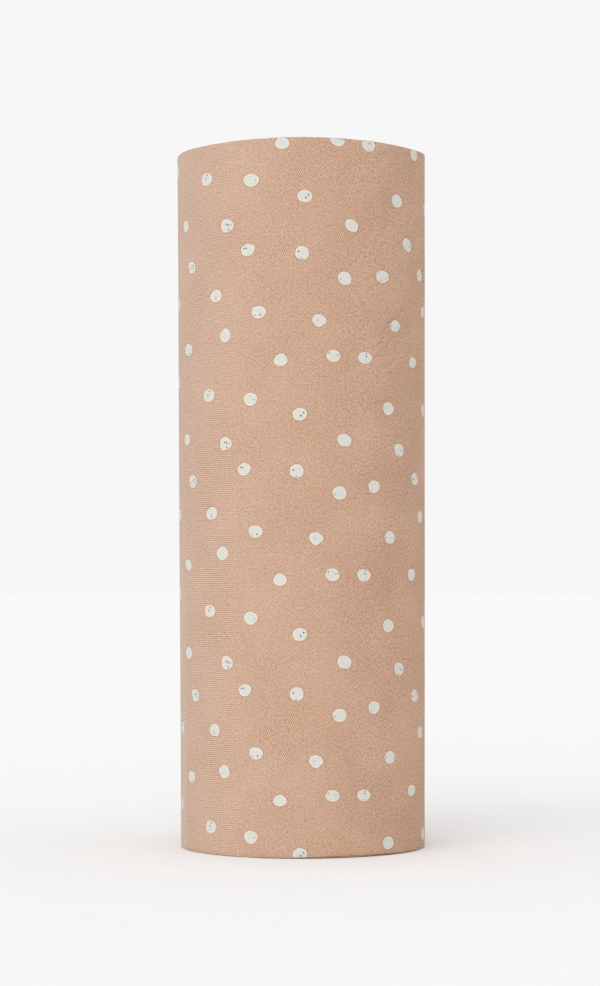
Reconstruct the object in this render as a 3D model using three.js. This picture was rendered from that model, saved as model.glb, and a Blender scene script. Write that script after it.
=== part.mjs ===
// A roll of printed cloth gift wrap, wound on a spiral-wound board core.
//
// One long cloth is wound as a single spiral, cut square at both ends of the roll. Its last
// quarter turn is the tail: the free end that peels off the roll. The tail is cut into panels
// that hinge on one another, because a rigid panel can't bend as the cloth does.
//
// Millimetres. +Z runs up the core's axis, and the roll stands on its bottom end at z = 0.
// -Y is the front. Angles are in degrees, anticlockwise from +X as seen from above.

import * as THREE from "three";

// Driving dimensions
const ROLL_LENGTH = 300;
const ROLL_RADIUS = 54;
const TURNS = 34;
const CLOTH_THICKNESS = 0.6;
const CLEARANCE = 0.3; // between solids that touch on the real roll
const OUTER_LIFT = 0.4; // the last turn sits this far inside both ends of the winding

const CORE_BORE = 38; // a standard core
const PLY_NAMES = ["liner", "board_1", "board_2", "board_3", "board_4", "facing"];
const PLY_THICKNESS = 0.45;
const GLUE_LINE = 0.15;
const CORE_RECESS = 1; // the core ends this far inside the cloth at both ends

const FREE_EDGE = 135; // the angle of the cloth's free edge, at the back
const TAIL_PANELS = 6;
const PANEL_ANGLE = 15;

const TAPE_THICKNESS = 0.3;
const TAPE_WIDTH = 19; // a common reel's width
const START_TAPE_INSET = 3; // from each end of the core
const TAB_ON_TAIL = 12; // shorter than a panel, so that a tab crosses no hinge
const TAB_ON_ROLL = 18;
const TAB_STEP_DOWN = 2; // the degrees in which a tab drops from the tail to the turn below
const TAB_HEIGHTS = { bottom: 45, middle: 150, top: 255 };

const STEP = 3.75; // the angle between the corners of each cloth outline
const CORE_STEP = 5;

// Driven dimensions
const PLY_PITCH = PLY_THICKNESS + GLUE_LINE;
const CORE_RADIUS = CORE_BORE / 2 + PLY_NAMES.length * PLY_PITCH - GLUE_LINE;
const START_TAPE_RADIUS = CORE_RADIUS + GLUE_LINE + TAPE_THICKNESS;
const WINDING_BORE = START_TAPE_RADIUS + GLUE_LINE;
const TURN_PITCH = (ROLL_RADIUS - WINDING_BORE) / TURNS;
const TAIL_START = FREE_EDGE - TAIL_PANELS * PANEL_ANGLE;

const material = (color, roughness) => new THREE.MeshStandardMaterial({ color, roughness, metalness: 0 });
const clothMaterial = material(0xcea78f, 0.95);
const boardMaterial = material(0x9c8f7e, 0.9);
const kraftMaterial = material(0xb08d63, 0.85);
const tapeMaterial = material(0xe8e4d8, 0.5);

const polar = (angle, radius) => {
  const turn = THREE.MathUtils.degToRad(angle);
  return new THREE.Vector2(radius * Math.cos(turn), radius * Math.sin(turn));
};

// Angles from one to the other, with every multiple of the step between them.
const anglesBetween = (from, to, step) => {
  const angles = [from];
  for (let n = Math.ceil(from / step + 1e-6); n * step < to - 1e-6; n += 1) {
    angles.push(n * step);
  }
  return [...angles, to];
};

// The degrees that an arc of some length covers at a radius.
const degreesOf = (arc, radius = ROLL_RADIUS) => THREE.MathUtils.radToDeg(arc / radius);

// The radius of the cloth's outer face at an angle. Angles count on through the turns, and the
// free edge is the last of them.
const clothRadius = (angle) => ROLL_RADIUS - (TURN_PITCH * (FREE_EDGE - angle)) / 360;

const extrude = (outline, bottom, top, hole) => {
  const shape = new THREE.Shape(outline);
  if (hole) shape.holes.push(new THREE.Path(hole));
  const geometry = new THREE.ExtrudeGeometry(shape, { depth: top - bottom, bevelEnabled: false });
  return geometry.translate(0, 0, bottom);
};

const circle = (radius, step) =>
  anglesBetween(0, 360, step)
    .slice(1)
    .map((angle) => polar(angle, radius));

// A curved strip between two angles, whose outer face has the given radius at each angle.
const strip = (from, to, radiusAt, thickness, bottom, top) => {
  const angles = anglesBetween(from, to, STEP);
  const outer = angles.map((angle) => polar(angle, radiusAt(angle)));
  const inner = angles.map((angle) => polar(angle, radiusAt(angle) - thickness));
  return extrude([...outer, ...inner.reverse()], bottom, top);
};

const outerStrip = (from, to) =>
  strip(from, to, clothRadius, CLOTH_THICKNESS, OUTER_LIFT, ROLL_LENGTH - OUTER_LIFT);

const roll = new THREE.Group();

const addPiece = (name, geometry, finish) => {
  const mesh = new THREE.Mesh(geometry, finish);
  mesh.name = name;
  roll.add(mesh);
};

// The core: paper strips glued over one another, from the liner in the bore to the facing.
PLY_NAMES.forEach((name, index) => {
  const inner = CORE_BORE / 2 + index * PLY_PITCH;
  const outline = circle(inner + PLY_THICKNESS, CORE_STEP);
  const ply = extrude(outline, CORE_RECESS, ROLL_LENGTH - CORE_RECESS, circle(inner, CORE_STEP));
  addPiece(`core_ply_${name}`, ply, name.startsWith("board") ? boardMaterial : kraftMaterial);
});

// The double-sided tape that holds the cloth's first edge to the core.
{
  const end = FREE_EDGE + degreesOf(TAPE_WIDTH, START_TAPE_RADIUS);
  const bottom = CORE_RECESS + START_TAPE_INSET;
  const tape = strip(FREE_EDGE, end, () => START_TAPE_RADIUS, TAPE_THICKNESS, bottom, ROLL_LENGTH - bottom);
  addPiece("start_tape", tape, tapeMaterial);
}

// The wound cloth, all but its last turn.
{
  const end = FREE_EDGE - 360;
  const outline = anglesBetween(end - 360, end, STEP).map((angle) => polar(angle, clothRadius(angle)));
  addPiece("wound_cloth", extrude(outline, 0, ROLL_LENGTH, circle(WINDING_BORE, STEP)), clothMaterial);
}

// The last turn, as far as the line where the tail lifts off.
{
  const start = FREE_EDGE - 360 + degreesOf(CLEARANCE);
  const end = TAIL_START - degreesOf(CLEARANCE / 2);
  addPiece("outer_turn", outerStrip(start, end), clothMaterial);
}

// The tail's panels, from the lift-off line to the free edge. Each seam's gap is centred on it.
for (let panel = 1; panel <= TAIL_PANELS; panel += 1) {
  const start = TAIL_START + (panel - 1) * PANEL_ANGLE + degreesOf(CLEARANCE / 2);
  const seam = TAIL_START + panel * PANEL_ANGLE;
  const end = panel < TAIL_PANELS ? seam - degreesOf(CLEARANCE / 2) : seam;
  addPiece(`tail_panel_${panel}`, outerStrip(start, end), clothMaterial);
}

// Tape tabs that hold the free edge down. Each steps down from the tail onto the turn below.
{
  const tabRadius = (angle) => {
    const drop = THREE.MathUtils.clamp((angle - FREE_EDGE) / TAB_STEP_DOWN, 0, 1);
    return clothRadius(angle) - drop * TURN_PITCH + CLEARANCE + TAPE_THICKNESS;
  };
  const from = FREE_EDGE - degreesOf(TAB_ON_TAIL);
  const to = FREE_EDGE + degreesOf(TAB_ON_ROLL);
  for (const [place, height] of Object.entries(TAB_HEIGHTS)) {
    const bottom = height - TAPE_WIDTH / 2;
    const tab = strip(from, to, tabRadius, TAPE_THICKNESS, bottom, bottom + TAPE_WIDTH);
    addPiece(`tape_tab_${place}`, tab, tapeMaterial);
  }
}

export default roll;
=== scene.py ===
"""A roll of soft dotted gift-wrap cloth on a board core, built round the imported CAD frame.

Metres, in the frame's axes: +Z up the core, -Y the front. Angles are in degrees, anticlockwise
from +X as seen from above. They count on through the turns, and the free edge is the last.
"""

import math

import bpy
import numpy as np
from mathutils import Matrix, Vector, noise


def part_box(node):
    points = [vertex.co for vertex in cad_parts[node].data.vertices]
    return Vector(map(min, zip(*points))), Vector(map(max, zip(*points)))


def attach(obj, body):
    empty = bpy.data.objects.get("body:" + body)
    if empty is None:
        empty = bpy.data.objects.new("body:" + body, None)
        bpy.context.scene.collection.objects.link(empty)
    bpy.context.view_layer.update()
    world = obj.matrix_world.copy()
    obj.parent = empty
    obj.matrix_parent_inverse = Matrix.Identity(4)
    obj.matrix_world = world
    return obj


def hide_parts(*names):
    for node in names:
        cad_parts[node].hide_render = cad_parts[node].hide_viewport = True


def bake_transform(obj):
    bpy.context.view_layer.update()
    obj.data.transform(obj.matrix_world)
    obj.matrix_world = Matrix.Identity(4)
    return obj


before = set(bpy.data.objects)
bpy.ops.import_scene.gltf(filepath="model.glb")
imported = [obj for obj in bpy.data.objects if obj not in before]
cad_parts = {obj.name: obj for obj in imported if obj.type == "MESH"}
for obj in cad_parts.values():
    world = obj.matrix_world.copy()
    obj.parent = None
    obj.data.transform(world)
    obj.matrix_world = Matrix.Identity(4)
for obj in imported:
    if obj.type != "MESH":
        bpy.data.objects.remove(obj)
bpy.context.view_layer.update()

MM = 0.001

# The winding, as the CAD has it
TURNS = 34
FREE_EDGE = 135
TAIL_START = 45
PANEL_ANGLE = 15
FRONT = -90
ROLL_RADIUS = -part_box("tail_panel_6")[0].x * math.sqrt(2)
ROLL_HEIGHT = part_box("wound_cloth")[1].z
CORE_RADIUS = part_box("core_ply_facing")[1].x
WINDING_BORE = CORE_RADIUS + 0.6 * MM
TURN_PITCH = (ROLL_RADIUS - WINDING_BORE) / TURNS

# The cloth
CLOTH_THICKNESS = 0.72 * MM
RIM_ROUNDING = 0.3 * MM
REVEALED_FROM = TAIL_START - 360 - 15  # the turn below the tail shows its print once the tail is up
OUTSIDE_FROM, OUTSIDE_BY = -235, -205  # where the turns come to the outside and start to show
STITCH_DEPTH = 0.26 * MM
WALE = 0.96  # mm between columns of stitches
COURSE = 0.86  # mm between rows of stitches
FACE_ROWS = 180  # mesh rows up a face that shows
FACE_STEP = 1.5  # degrees between its mesh columns

# The core and the tape
PLY_THICKNESS = 0.45 * MM
START_TAPE_WIDTH = 19 * MM
TAB_ON_TAIL = 12 * MM
TAB_ON_ROLL = 18 * MM
TAPE_THICKNESS = 0.12 * MM
TAPE_GAP = 0.08 * MM

# The print: one repeat, in mm. Across counts from the front, and down from the top of the roll.
REPEAT_ACROSS = 188
REPEAT_DOWN = 91.4
DOT_RADIUS = 2.8
DOTS = [
    (-44, 106), (-22, 109), (-1, 115), (40, 112), (72, 111), (-62, 124), (-34, 127), (18, 126),
    (47, 129), (-25, 138), (-2, 139), (-56, 142), (16, 148), (32, 145), (60, 141), (-42, 156),
    (-75, 156), (-20, 164), (67, 157), (6, 167), (41, 166), (-36, 173), (-60, 177), (-9, 184),
    (13, 182), (27, 182), (57, 182), (-76, 190), (96, 112), (86, 133), (100, 152), (88, 176),
]

# Where the print is tugged out of its even repeat: across, down, reach across, reach down, and how
# far it moves to the right and down, in mm
TUGS = [
    (-41, 68, 11, 24, 2.3, 0.0), (-32, 10, 22, 20, -2.0, 0.0), (-52, 40, 9, 12, -2.0, 0.6),
    (-52, 250, 22, 50, 2.0, -1.6), (18, 35, 8, 14, 1.2, -0.6), (56, 56, 9, 26, 1.0, 1.0),
    (-10, 0, 12, 12, -0.8, 1.2), (-55, 172, 12, 16, -1.6, 1.2), (-76, 262, 10, 42, 4.5, 0.0),
]

# Soft creases where the cloth was pulled askew: across, up and length in mm, lean in degrees, and
# height in mm
CREASES = [
    (34, 214, 34, 52, 0.34), (43, 204, 40, 47, 0.28), (27, 226, 26, 58, 0.22),
    (52, 186, 30, 40, 0.22), (38, 240, 28, 50, 0.2), (60, 222, 24, 44, 0.2),
]

random = np.random.default_rng(7)


# ---- The cloth's shape -----------------------------------------------------------------------


def smooth(low, high, value):
    share = np.clip((value - low) / (high - low), 0, 1)
    return share * share * (3 - 2 * share)


def cloth_radius(angle):
    """The cloth's outer face at an angle, on a perfect spiral."""
    return ROLL_RADIUS - TURN_PITCH * (FREE_EDGE - angle) / 360


def arc_from_front(angle):
    """The length of cloth from the front line of the last turn, in metres, positive to the right."""
    middle = (np.asarray(angle, float) + FRONT) / 2
    return cloth_radius(middle) * np.radians(angle - FRONT)


def round_angle(angle):
    """Degrees from the front, from -180 to 180."""
    return (np.asarray(angle, float) - FRONT + 180) % 360 - 180


def swell(angle, height):
    """How far the roll stands fuller at the upper left than at the lower left."""
    side = np.exp(-((round_angle(angle) + 88) / 42.0) ** 2)
    return side * (1.3 * height / ROLL_HEIGHT - 0.55) * 1.2 * MM


def waves(angle, height):
    """Slight lifts and soft creases in the last turns, never inwards."""
    across = arc_from_front(angle) / MM
    up = height / MM
    broad = np.array([
        noise.noise(Vector((a / 31, z / 58, 3.1))) + 0.5 * noise.noise(Vector((a / 12, z / 21, 8.4)))
        for a, z in zip(across.ravel(), up.ravel())
    ]).reshape(across.shape)
    lift = 0.1 * (broad + 1)
    for centre, middle, length, lean, tall in CREASES:
        turn = math.radians(lean)
        along = (across - centre) * math.cos(turn) + (up - middle) * math.sin(turn)
        off = -(across - centre) * math.sin(turn) + (up - middle) * math.cos(turn)
        lift = lift + tall * np.exp(-((along / (0.5 * length)) ** 2) - (off / 1.9) ** 2)
    return lift * MM


def edge_heights(angle, outer):
    """The cut edges' heights, bottom and top. outer runs from 0 on inner turns to 1 on the last.

    Each turn ends at its own height. The last one is a little high at both top corners of the front.
    """
    round_it = np.radians(round_angle(angle))
    turn = np.floor((np.asarray(angle, float) - FREE_EDGE) / 360)
    shift = np.sin(turn * 12.9898) * 0.22 + np.sin(turn * 4.1 + round_it * 2) * 0.1
    near = np.exp(-((round_it / 1.05) ** 2))
    bottom = 0.12 + 0.06 * shift + outer * 0.75 * np.exp(-(((round_it - 0.45) / 0.45) ** 2))
    top = 0.35 + shift + outer * (0.1 - 0.3 * near * np.cos(3.4 * round_it))
    at_left = 0.4 * np.exp(-(((round_it + 1.25) / 0.28) ** 2))
    at_right = 1.15 * np.exp(-(((round_it - 1.45) / 0.25) ** 2))
    top = np.maximum(top, 0.0) - outer * (at_left + at_right)
    return np.maximum(bottom, 0.06) * MM, ROLL_HEIGHT - top * MM


def mesh_object(name, points, faces, materials):
    mesh = bpy.data.meshes.new(name)
    mesh.from_pydata(points, [], faces)
    for material in materials:
        mesh.materials.append(material)
    mesh.polygons.foreach_set("use_smooth", np.ones(len(faces), bool))
    mesh.update()
    piece = bpy.data.objects.new(name, mesh)
    bpy.context.scene.collection.objects.link(piece)
    return piece


def nearest_dots(across, down):
    """The centre of the nearest dot to each place on the cloth, and that dot's place in the repeat."""
    best = np.full(across.shape, 1e9)
    centre = np.zeros((*across.shape, 2))
    home = np.zeros((*across.shape, 2))
    for x, y in DOTS:
        cx = x + REPEAT_ACROSS * np.round((across - x) / REPEAT_ACROSS)
        cy = y + REPEAT_DOWN * np.round((down - y) / REPEAT_DOWN)
        gap = np.hypot(across - cx, down - cy)
        closer = gap < best
        best = np.where(closer, gap, best)
        centre[closer] = np.stack([cx, cy], -1)[closer]
        home[closer] = (x, y)
    return centre, home


def pulled(across, down):
    """Where the print lies on the cloth: pulled right and down over the roll's upper part."""
    upper = smooth(105, 55, down) * smooth(120, 90, across)
    to_right = 2.2 * smooth(-55, -10, across) + 3.2 * smooth(20, 46, across) * smooth(0, 22, down)
    downwards = 3.3 * smooth(-20, 45, across)
    slack = 1.2 * smooth(205, 222, down) * smooth(285, 262, down)
    pulled_across = across - upper * to_right
    pulled_down = down - upper * downwards - slack
    for x, y, wide, tall, right, lower in TUGS:
        near = np.exp(-(((across - x) / wide) ** 2) - ((down - y) / tall) ** 2)
        pulled_across = pulled_across - near * right
        pulled_down = pulled_down - near * lower
    return pulled_across, pulled_down


def cloth_strip(name, angles, rows, outer, materials):
    """A closed strip of cloth between the first and last angle, with rounded cut edges.

    outer is how far each angle belongs to the last turn, which waves and shows. The mesh runs up the
    outer face, over the top edge, down the inner face and round the bottom edge.
    """
    angles = np.asarray(angles, float)
    bottom, top = edge_heights(angles, outer)
    ragged = random.uniform(-0.07, 0.07, (2, len(angles), 3)) * MM
    shares = np.linspace(0, 1, rows + 1)
    low, high = bottom + RIM_ROUNDING, top - RIM_ROUNDING
    face = low[:, None] + (high - low)[:, None] * shares[None]
    rim_depths = np.array([0.16, 0.5, 0.84])
    rim_rises = np.array([0.62, 1.0, 0.62]) * RIM_ROUNDING
    height = np.concatenate([
        face,
        high[:, None] + rim_rises + ragged[0],
        face[:, ::-1],
        low[:, None] - rim_rises - ragged[1],
    ], axis=1)
    depth = np.concatenate([np.zeros(rows + 1), rim_depths, np.ones(rows + 1), rim_depths[::-1]])
    around = np.repeat(angles[:, None], height.shape[1], axis=1)
    radius = cloth_radius(around) - depth * CLOTH_THICKNESS
    wound = (cloth_radius(around) - WINDING_BORE) / (ROLL_RADIUS - WINDING_BORE)
    radius = radius + wound * swell(around, height)
    if np.any(outer):
        radius = radius + np.reshape(outer, (-1, 1)) * waves(around, height)
    turn = np.radians(around)
    points = np.stack([radius * np.cos(turn), radius * np.sin(turn), height], -1)

    count = height.shape[1]
    columns = len(angles)
    i, k = np.meshgrid(np.arange(columns - 1), np.arange(count), indexing="ij")
    after = (k + 1) % count
    here, beyond = i * count, (i + 1) * count
    quads = np.stack([here + k, beyond + k, beyond + after, here + after], -1).reshape(-1, 4)
    printed = (k < rows).ravel()
    caps = []
    last = (columns - 1) * count
    mirror = 2 * rows + 4  # the row opposite row n on the inner face is mirror - n
    for n in range(rows):
        caps.append((n, n + 1, mirror - n - 1, mirror - n))
        caps.append((last + n, last + mirror - n, last + mirror - n - 1, last + n + 1))
    caps.append(tuple([rows, rows + 1, rows + 2, rows + 3, rows + 4]))
    caps.append(tuple(last + n for n in (rows + 4, rows + 3, rows + 2, rows + 1, rows)))
    foot = [mirror, mirror + 1, mirror + 2, mirror + 3, 0]
    caps.append(tuple(foot))
    caps.append(tuple(last + n for n in reversed(foot)))

    piece = mesh_object(name, points.reshape(-1, 3).tolist(), quads.tolist() + caps, materials)
    mesh = piece.data
    index = np.ones(len(mesh.polygons), np.int32)
    index[: len(printed)][printed] = 0
    mesh.polygons.foreach_set("material_index", index)
    mesh.set_sharp_from_angle(angle=math.radians(65))
    lay_print(mesh, around, height)
    return piece


def lay_print(mesh, around, height):
    """Writes each corner's place on the cloth, in the print and within its nearest dot, in mm."""
    corner = np.zeros(len(mesh.loops), np.int32)
    mesh.loops.foreach_get("vertex_index", corner)
    across = (arc_from_front(around) / MM).ravel()[corner]
    down = ((ROLL_HEIGHT - height) / MM).ravel()[corner]
    write_uv(mesh, "cloth", across, down)
    off_front = np.abs(across)
    # The photo's dots look less narrow towards both sides than round ones on a round roll would.
    stretched = 1.05 + 0.17 * smooth(15, 60, off_front) * smooth(120, 90, off_front)
    across, down = pulled(across, down)
    owner = np.repeat(np.arange(len(mesh.polygons)), [len(p.vertices) for p in mesh.polygons])
    sizes = np.bincount(owner)
    middle = [np.bincount(owner, value) / sizes for value in (across, down)]
    centre, home = nearest_dots(*middle)
    offset = np.stack([across, down], -1) - centre[owner]
    write_uv(mesh, "dot", offset[:, 0] / stretched, offset[:, 1] / 0.96)
    write_uv(mesh, "print", *(offset + home[owner]).T)


def write_uv(mesh, name, across, down):
    layer = mesh.uv_layers.new(name=name)
    layer.data.foreach_set("uv", np.stack([across, down], -1).astype(np.float32).ravel())


# ---- Materials -------------------------------------------------------------------------------


class Shader:
    """A material's node tree, with short ways to add and join nodes."""

    def __init__(self, name):
        self.material = bpy.data.materials.new(name)
        self.material.use_nodes = True
        self.tree = self.material.node_tree
        self.surface = self.tree.nodes["Principled BSDF"]

    def add(self, kind, inputs=None, output=0, **settings):
        node = self.tree.nodes.new("ShaderNode" + kind)
        for key, value in settings.items():
            setattr(node, key, value)
        for key, value in (inputs or {}).items():
            self.join(node.inputs[key], value)
        return node.outputs[output]

    def join(self, socket, value):
        if isinstance(value, bpy.types.NodeSocket):
            self.tree.links.new(value, socket)
        else:
            socket.default_value = value

    def math(self, operation, a, b=0.0, clamp=False):
        return self.add("Math", {0: a, 1: b}, operation=operation, use_clamp=clamp)

    def uv(self, name):
        return self.add("UVMap", uv_map=name)

    def noise(self, vector, scale, detail=2.0, roughness=0.5):
        inputs = {"Vector": vector, "Scale": scale, "Detail": detail, "Roughness": roughness}
        return self.add("TexNoise", inputs)

    def ramp(self, value, low, high, to_low=0.0, to_high=1.0):
        """Runs smoothly from to_low at low to to_high at high, and stays there outside them."""
        inputs = {
            "Value": value, "From Min": low, "From Max": high, "To Min": to_low, "To Max": to_high,
        }
        return self.add("MapRange", inputs, interpolation_type="SMOOTHSTEP")

    def mix(self, share, a, b):
        node = self.tree.nodes.new("ShaderNodeMix")
        node.data_type = "RGBA"
        self.join(node.inputs[0], share)
        self.join(node.inputs[6], a)
        self.join(node.inputs[7], b)
        return node.outputs[2]

    def bump(self, height, distance, strength=1.0, under=None):
        inputs = {"Height": height, "Distance": distance, "Strength": strength}
        if under is not None:
            inputs["Normal"] = under
        return self.add("Bump", inputs)

    def finish(self, **inputs):
        for key, value in inputs.items():
            self.join(self.surface.inputs[key.replace("_", " ")], value)
        return self.material


GROUND = (0.602, 0.382, 0.267, 1)
# The next colour is painted shade: in the stitch pits, towards the right side, and, together with wicked
# ink, in a ring round each dot.
GROUND_SHADE_DEEP = (0.270, 0.142, 0.085, 1)
# The next colour is the paler tone of random patches, wisps and thin ink, and also painted highlight on
# the yarn tops and painted sheen on dots near the right edge.
GROUND_PALE = (0.720, 0.520, 0.400, 1)
# The next colour is painted sheen, a pale veil over the left flank.
SHEEN_VEIL = (0.580, 0.560, 0.510, 1)
INK = (0.594, 0.598, 0.558, 1)
INK_RIM = (0.680, 0.627, 0.548, 1)
SPECK = (0.110, 0.100, 0.085, 1)


def knit(shader):
    """The height of the stitches, from 0 in the pits to 1 on the yarn, with uneven yarn.

    Rows show most at the left flank. At the right the cloth was pulled askew, so they climb.
    """
    cloth = shader.uv("cloth")
    drift = shader.noise(cloth, 0.11, 2.0)
    across = shader.add("SeparateXYZ", {0: cloth})
    down = across.node.outputs[1]
    at_left = shader.ramp(across, -12, -42)
    loose = shader.math("MULTIPLY", shader.ramp(across, 6, 42), shader.ramp(across, 170, 84))
    down = shader.math("ADD", down, shader.ramp(across, 14, 112, 0, -31))
    across = shader.math("ADD", across, shader.math("MULTIPLY", drift, 1.6))
    down = shader.math("ADD", down, shader.math("MULTIPLY", drift, 1.1))
    wales = shader.math("COSINE", shader.math("MULTIPLY", across, 2 * math.pi / WALE))
    rows = shader.math("COSINE", shader.math("MULTIPLY", down, math.pi / COURSE))
    courses = shader.math("COSINE", shader.math("MULTIPLY", down, 2 * math.pi / COURSE))
    lattice = shader.math("MULTIPLY", wales, rows)
    lattice = shader.math("MULTIPLY", lattice, shader.ramp(at_left, 0, 1, 0.4, 0.2))
    courses = shader.math("MULTIPLY", courses, shader.ramp(at_left, 0, 1, 0.1, 0.24))
    yarn = shader.math("SUBTRACT", shader.noise(cloth, 1.05, 3.0, 0.65), 0.5)
    regular = shader.math("ADD", lattice, courses)
    regular = shader.math("MULTIPLY", regular, shader.ramp(loose, 0, 1, 1.0, 0.55))
    yarn = shader.math("MULTIPLY", yarn, shader.ramp(loose, 0, 1, 1.0, 1.65))
    return shader.math("ADD", shader.math("ADD", regular, yarn), 0.5, clamp=True)


def creases(shader):
    """A few fine creases that climb to the right, strongest at the upper right, from 0 to 1."""
    cloth = shader.uv("cloth")
    turned = shader.add("Mapping", {"Vector": cloth, "Rotation": (0, 0, math.radians(36))})
    drawn_out = shader.add("Mapping", {"Vector": turned, "Scale": (0.045, 0.14, 1)})
    ridges = shader.noise(drawn_out, 1.0, 1.0, 0.4)
    ridges = shader.ramp(shader.math("ABSOLUTE", shader.math("SUBTRACT", ridges, 0.5)), 0.0, 0.1)
    across = shader.add("SeparateXYZ", {0: cloth})
    down = across.node.outputs[1]
    where = shader.math("MULTIPLY", shader.ramp(across, 14, 40), shader.ramp(across, 95, 70))
    where = shader.math("MULTIPLY", where, shader.ramp(down, 190, 120, 0.25, 1.0))
    where = shader.math("MULTIPLY", where, shader.ramp(shader.noise(cloth, 0.04, 1.0), 0.46, 0.62))
    return shader.math("MULTIPLY", ridges, where)


def cloth_material(name, printed):
    """The knitted cloth, with its print on the outer face."""
    shader = Shader(name)
    cloth = shader.uv("cloth")
    height = knit(shader)
    # Painted shade in the stitch pits and painted highlight on the tops of the yarn, both following the
    # stitch height.
    ground = shader.mix(shader.ramp(height, 0.02, 0.62), GROUND_SHADE_DEEP, GROUND)
    ground = shader.mix(shader.ramp(height, 0.72, 1.0, 0.0, 0.6), ground, GROUND_PALE)
    patches = shader.ramp(shader.noise(cloth, 0.035, 3.0, 0.6), 0.3, 0.7, 0.0, 0.16)
    ground = shader.mix(patches, ground, GROUND_PALE)
    across = shader.add("SeparateXYZ", {0: cloth})
    # Painted shade: the ground goes darker towards the right side, away from the key light, in uneven
    # patches.
    at_right = shader.math("MULTIPLY", shader.ramp(across, 4, 34), shader.ramp(across, 150, 88))
    right_shade = shader.ramp(shader.noise(cloth, 0.03, 2.0), 0.38, 0.62, 0.03, 0.17)
    ground = shader.mix(shader.math("MULTIPLY", right_shade, at_right), ground, GROUND_SHADE_DEEP)
    wisps = shader.ramp(shader.noise(cloth, 0.5, 5.0, 0.7), 0.58, 0.8, 0.0, 0.22)
    ground = shader.mix(wisps, ground, GROUND_PALE)
    # Painted sheen: a pale veil over the left flank, where the light grazes the fuzz, and a band along
    # the left edge that grows stronger lower down.
    from_flank = shader.math("ABSOLUTE", shader.math("ADD", across, 78))
    strip = shader.ramp(across.node.outputs[1], 120, 230, 0.06, 0.16)
    strip = shader.math("MULTIPLY", strip, shader.ramp(across, -62, -66))
    strip = shader.math("MULTIPLY", strip, shader.ramp(across, -125, -80))
    painted_sheen = shader.math("ADD", shader.ramp(from_flank, 0, 95, 0.17, 0.0), strip)
    ground = shader.mix(painted_sheen, ground, SHEEN_VEIL)
    folds = shader.bump(creases(shader), 0.35 * MM, 1.0)
    fuzz = {
        "Sheen_Weight": 0.09, "Sheen_Roughness": 0.3, "Sheen_Tint": (0.96, 0.95, 0.9, 1),
        "Specular_IOR_Level": 0.18,
    }
    if not printed:
        normal = shader.bump(height, STITCH_DEPTH, 0.9, under=folds)
        return shader.finish(Base_Color=ground, Roughness=0.92, Normal=normal, **fuzz)
    place = shader.uv("print")
    wobble = shader.math("SUBTRACT", shader.noise(place, 0.21, 1.0, 0.4), 0.5)
    offset = shader.add("VectorMath", {0: shader.uv("dot")}, operation="LENGTH", output="Value")
    reach = shader.math("ADD", shader.math("MULTIPLY", wobble, 1.7), DOT_RADIUS)
    reach = shader.math("ADD", reach, shader.math("MULTIPLY", shader.math("SUBTRACT", height, 0.5), 0.12))
    within = shader.math("SUBTRACT", reach, offset)
    inked = shader.ramp(within, -0.07, 0.07)
    cells = shader.add("TexVoronoi", {"Vector": place, "Scale": 0.9, "Randomness": 1.0})
    chance = shader.add("SeparateXYZ", {0: cells.node.outputs["Color"]})
    uneven = shader.math("SUBTRACT", shader.noise(place, 1.9, 2.0), 0.5)
    uneven = shader.math("MULTIPLY", uneven, 0.5)
    inside = shader.ramp(within, 0.35, 0.6)
    speck = shader.ramp(shader.math("ADD", cells, uneven), 0.42, 0.3)
    speck = shader.math("MULTIPLY", speck, shader.ramp(chance, 0.68, 0.7))
    speck = shader.math("MULTIPLY", speck, shader.ramp(shader.noise(place, 0.3, 1.0), 0.42, 0.48))
    speck = shader.math("MULTIPLY", speck, inside)
    thin = shader.ramp(shader.noise(place, 0.9, 3.0), 0.35, 0.7, 0.0, 0.1)
    rim = shader.ramp(within, 1.1, 0.25, 0.0, 0.75)
    ink = shader.mix(thin, shader.mix(rim, INK, INK_RIM), GROUND_PALE)
    ink = shader.mix(shader.ramp(height, 0.3, 0.05, 0.0, 0.14), ink, GROUND)
    ink = shader.mix(shader.math("MULTIPLY", speck, 0.85), ink, SPECK)
    # Painted sheen: dots on a line near the right edge go paler, most at their rims, as fuzz catching
    # grazing light would make them.
    from_right = shader.math("ABSOLUTE", shader.math("SUBTRACT", across, 74))
    by_place = shader.ramp(from_right, 8, 18, 1.0, 0.0)
    dot_sheen = shader.math("MULTIPLY", by_place, shader.ramp(rim, 0, 0.75, 0.25, 0.65))
    ink = shader.mix(dot_sheen, ink, GROUND_PALE)
    # A darker ring just outside each dot: partly ink wicked into the cloth, partly painted shadow at the
    # edge of the ink film.
    wick_and_shade = shader.ramp(within, -0.6, -0.12, 0.0, 0.3)
    ground = shader.mix(wick_and_shade, ground, GROUND_SHADE_DEEP)
    colour = shader.mix(inked, ground, ink)
    normal = shader.bump(height, STITCH_DEPTH, shader.ramp(inked, 0, 1, 0.9, 0.3), under=folds)
    roughness = shader.ramp(inked, 0, 1, 0.92, 0.78)
    film = shader.bump(inked, 0.03 * MM, 0.6, under=normal)
    return shader.finish(Base_Color=colour, Roughness=roughness, Normal=film, **fuzz)


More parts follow.
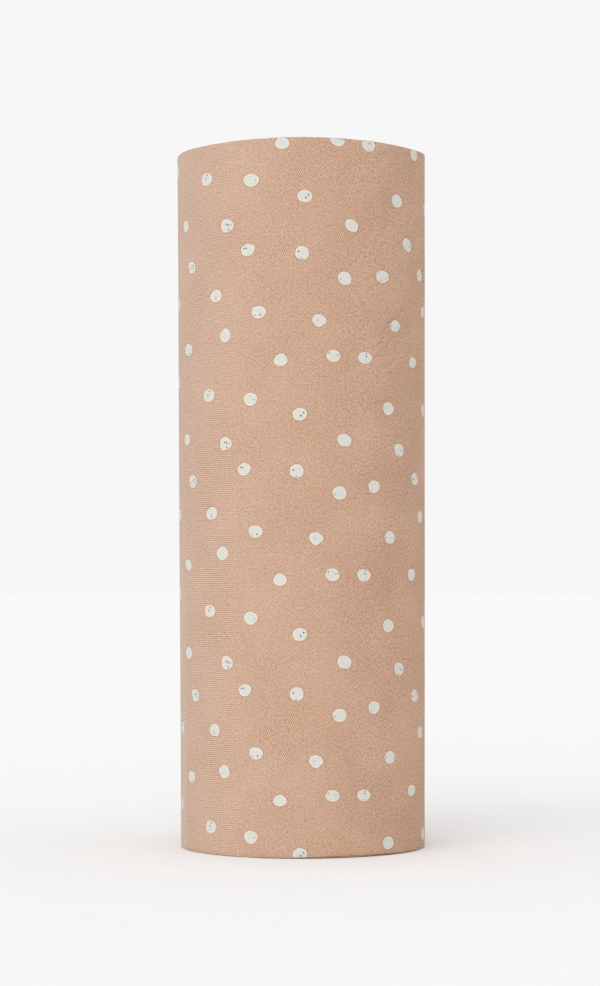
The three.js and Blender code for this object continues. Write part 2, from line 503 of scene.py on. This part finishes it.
def board_material(name, colour, fleck, seam_pitch):
    """Paper board with long fibres, flecks and the butt seam of a strip wound in a helix."""
    shader = Shader(name)
    place = shader.add("TexCoord", output="Object")
    stretched = shader.add("Mapping", {"Vector": place, "Scale": (900, 900, 260)})
    fibres = shader.noise(stretched, 1.0, 5.0, 0.7)
    flecks = shader.ramp(shader.noise(place, 1600, 2.0), 0.62, 0.7)
    dark = tuple(0.72 * c for c in colour[:3]) + (1,)
    mixed = shader.mix(shader.ramp(fibres, 0.35, 0.7), dark, colour)
    mixed = shader.mix(shader.math("MULTIPLY", flecks, 0.5), mixed, fleck)
    parts = shader.add("SeparateXYZ", {0: place})
    turn = shader.math("ARCTAN2", parts.node.outputs[1], parts)
    climb = shader.math("DIVIDE", parts.node.outputs[2], seam_pitch)
    phase = shader.math("FRACT", shader.math("ADD", climb, shader.math("DIVIDE", turn, 2 * math.pi)))
    from_seam = shader.math("ABSOLUTE", shader.math("SUBTRACT", phase, 0.5))
    seam = shader.ramp(from_seam, 0.006, 0.011, 1.0, 0.0)
    mixed = shader.mix(shader.math("MULTIPLY", seam, 0.6), mixed, dark)
    height = shader.math("SUBTRACT", fibres, shader.math("MULTIPLY", seam, 2.0))
    return shader.finish(
        Base_Color=mixed, Roughness=0.88, Normal=shader.bump(height, 0.12 * MM, 0.7),
        Specular_IOR_Level=0.25,
    )


def tape_material(name, colour, alpha):
    """Thin film with a hazy surface and trapped air. alpha is how opaque it is."""
    shader = Shader(name)
    place = shader.add("TexCoord", output="Object")
    haze = shader.noise(place, 700, 3.0)
    bubbles = shader.ramp(shader.noise(place, 240, 2.0), 0.58, 0.7)
    tint = shader.mix(shader.ramp(haze, 0.3, 0.7, 0.0, 0.4), colour, (0.92, 0.9, 0.84, 1))
    opacity = shader.math("ADD", shader.math("MULTIPLY", bubbles, 0.07), alpha)
    return shader.finish(
        Base_Color=tint, Roughness=0.42, Alpha=opacity, Normal=shader.bump(haze, 0.04 * MM, 0.5),
    )


# ---- Pieces ----------------------------------------------------------------------------------


def degrees_between(start, end, step):
    return np.linspace(start, end, max(2, round(abs(end - start) / step) + 1))


def declare_cloth(nodes):
    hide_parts(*nodes)


def build_cloth():
    printed = cloth_material("printed_cloth", printed=True)
    plain = cloth_material("plain_cloth", printed=False)
    both = [printed, plain]

    first = FREE_EDGE - 360 * TURNS
    angles = degrees_between(first, REVEALED_FROM, 3)
    winding = cloth_strip("cloth_winding", angles, 4, 0, [plain, plain])
    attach(winding, "roll")
    declare_cloth(["wound_cloth"])

    end = TAIL_START - PANEL_ANGLE / 2
    angles = degrees_between(REVEALED_FROM, end, FACE_STEP)
    outer = smooth(OUTSIDE_FROM, OUTSIDE_BY, angles)
    turn = cloth_strip("cloth_outer_turn", angles, FACE_ROWS, outer, both)
    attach(turn, "roll")
    declare_cloth(["outer_turn"])

    for panel in range(1, 7):
        seam = TAIL_START + (panel - 1) * PANEL_ANGLE
        start = seam - PANEL_ANGLE / 2
        end = FREE_EDGE if panel == 6 else seam + PANEL_ANGLE / 2
        angles = degrees_between(start, end, FACE_STEP)
        piece = cloth_strip(f"cloth_tail_{panel}", angles, FACE_ROWS, 1, both)
        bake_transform(piece)
        declare_cloth([f"tail_panel_{panel}"])


def build_core():
    kraft = board_material("kraft_board", (0.43, 0.27, 0.14, 1), (0.6, 0.44, 0.28, 1), 0.062)
    grey = board_material("grey_board", (0.33, 0.28, 0.21, 1), (0.5, 0.44, 0.35, 1), 0.071)
    sides = 144
    turn = np.linspace(0, 2 * math.pi, sides, endpoint=False)
    for name in ("liner", "board_1", "board_2", "board_3", "board_4", "facing"):
        node = f"core_ply_{name}"
        low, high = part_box(node)
        outside = high.x
        inside = outside - PLY_THICKNESS
        ragged = random.uniform(-0.09, 0.09, (2, sides)) * MM
        wave = 0.08 * MM * np.sin(turn * 2 + outside / MM)
        heights = [low.z + ragged[0] + 0.05 * MM, high.z + wave + ragged[1] - 0.1 * MM]
        rings = []
        lip = 0.06 * MM
        for radius, end, inset in (
            (outside, 0, lip), (outside, 1, -lip), (outside - lip, 1, 0), (inside + lip, 1, 0),
            (inside, 1, -lip), (inside, 0, lip), (inside + lip, 0, 0), (outside - lip, 0, 0),
        ):
            outline = [radius * np.cos(turn), radius * np.sin(turn), heights[end] + inset]
            rings.append(np.stack(outline, -1))
        points = np.concatenate(rings)
        faces = []
        for ring in range(8):
            this, upper = ring * sides, (ring + 1) % 8 * sides
            for n in range(sides):
                after = (n + 1) % sides
                faces.append((this + n, this + after, upper + after, upper + n))
        paper = grey if "board" in name else kraft
        ply = mesh_object(f"core_{name}", points.tolist(), faces, [paper])
        ply.data.set_sharp_from_angle(angle=math.radians(40))
        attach(ply, "roll")
        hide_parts(node)


def curved_tape(name, angles, radius_at, bottom, top, thickness, material, teeth):
    """A thin strip round the roll, cut at both ends by a toothed blade where teeth is above 0."""
    columns = len(angles)
    rows = 24
    share = np.linspace(0, 1, rows + 1)
    height = bottom + (top - bottom) * share
    saw = teeth * np.abs((share * 12) % 1 - 0.5) * 2
    points = []
    for depth in (0, thickness):
        for column, angle in enumerate(angles):
            lean = 1 if column == columns - 1 else -1 if column == 0 else 0
            for row in range(rows + 1):
                turn = math.radians(angle + lean * saw[row])
                radius = radius_at(math.degrees(turn), height[row]) - depth
                points.append((radius * math.cos(turn), radius * math.sin(turn), height[row]))
    faces = []

    def at(layer, column, row):
        return (layer * columns + column) * (rows + 1) + row

    for column in range(columns - 1):
        for row in range(rows):
            quad = [(column, row), (column + 1, row), (column + 1, row + 1), (column, row + 1)]
            faces.append(tuple(at(0, *corner) for corner in quad))
            faces.append(tuple(at(1, *corner) for corner in reversed(quad)))
        for row, order in ((0, 1), (rows, -1)):
            edge = [
                at(0, column, row), at(1, column, row), at(1, column + 1, row), at(0, column + 1, row),
            ]
            faces.append(tuple(edge[::order]))
    for column, order in ((0, 1), (columns - 1, -1)):
        for row in range(rows):
            edge = [
                at(0, column, row), at(0, column, row + 1), at(1, column, row + 1), at(1, column, row),
            ]
            faces.append(tuple(edge[::order]))
    tape = mesh_object(name, points, faces, [material])
    tape.data.set_sharp_from_angle(angle=math.radians(60))
    return tape


def surface_at(angle, height):
    """The radius of the roll's outside, with its swell and waves."""
    spot = np.array([[float(angle)]])
    tall = np.array([[float(height)]])
    wound = (cloth_radius(angle) - WINDING_BORE) / (ROLL_RADIUS - WINDING_BORE)
    fuller = wound * float(swell(spot, tall)[0, 0])
    return cloth_radius(angle) + fuller + float(waves(spot, tall)[0, 0])


def build_tapes():
    clear = tape_material("clear_tape", (0.86, 0.85, 0.8, 1), 0.26)
    white = tape_material("double_sided_tape", (0.82, 0.8, 0.74, 1), 0.9)

    def over_the_edge(angle, height):
        """The outside of a tab, on the tail up to the free edge and on the turn below past it."""
        drop = smooth(FREE_EDGE, FREE_EDGE + 1.6, angle)
        on_tail = surface_at(min(angle, FREE_EDGE), height)
        on_roll = surface_at(max(angle, FREE_EDGE) - 360, height)
        return on_tail * (1 - drop) + on_roll * drop + TAPE_THICKNESS + TAPE_GAP

    start = FREE_EDGE - math.degrees(TAB_ON_TAIL / ROLL_RADIUS)
    end = FREE_EDGE + math.degrees(TAB_ON_ROLL / ROLL_RADIUS)
    for place in ("bottom", "middle", "top"):
        node = f"tape_tab_{place}"
        low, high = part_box(node)
        angles = degrees_between(start + 0.5, end - 0.5, 0.8)
        tab = curved_tape(
            f"tab_{place}", angles, over_the_edge, low.z, high.z, TAPE_THICKNESS, clear, 0.45,
        )
        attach(tab, "tail_6")
        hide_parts(node)

    low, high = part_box("start_tape")
    radius = CORE_RADIUS + 0.45 * MM
    spread = math.degrees(START_TAPE_WIDTH / radius)
    angles = degrees_between(FREE_EDGE, FREE_EDGE + spread, 2)
    strip = curved_tape(
        "first_edge_tape", angles, lambda angle, height: radius, low.z, high.z, 0.25 * MM, white, 0,
    )
    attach(strip, "roll")
    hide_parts("start_tape")


# ---- The studio ------------------------------------------------------------------------------


def build_studio():
    """A pale floor under soft light, and a level camera placed to match the photo's perspective."""
    scene = bpy.context.scene
    scene.view_settings.view_transform = "Standard"

    camera = bpy.data.objects.new("camera", bpy.data.cameras.new("camera"))
    scene.collection.objects.link(camera)
    camera.location = (0, -1.06, 0.1114)
    camera.rotation_euler = (math.radians(90), 0, 0)
    camera.data.lens = 88.5
    camera.data.sensor_width = 36
    camera.data.shift_x = -0.0017
    camera.data.shift_y = 0.099
    scene.camera = camera

    world = bpy.data.worlds.new("studio")
    world.use_nodes = True
    world.node_tree.nodes["Background"].inputs["Color"].default_value = (0.93, 0.93, 0.93, 1)
    world.node_tree.nodes["Background"].inputs["Strength"].default_value = 1.0
    scene.world = world

    key = bpy.data.objects.new("key", bpy.data.lights.new("key", "SUN"))
    key.data.energy = 1.2
    key.data.angle = math.radians(62)
    key.rotation_euler = (math.radians(62), 0, math.radians(-25.5))
    scene.collection.objects.link(key)

    half = 60.0
    corners = [(-half, -half, 0), (half, -half, 0), (half, half, 0), (-half, half, 0)]
    paper = Shader("studio_floor")
    grain = paper.noise(paper.add("TexCoord", output="Object"), 60, 4.0)
    pale = paper.mix(paper.ramp(grain, 0.3, 0.7), (0.845, 0.845, 0.845, 1), (0.855, 0.855, 0.855, 1))
    paper.finish(Base_Color=pale, Roughness=0.95, Specular_IOR_Level=0.1)
    floor = mesh_object("floor", corners, [(0, 1, 2, 3)], [paper.material])


build_studio()
build_cloth()
build_core()
build_tapes()
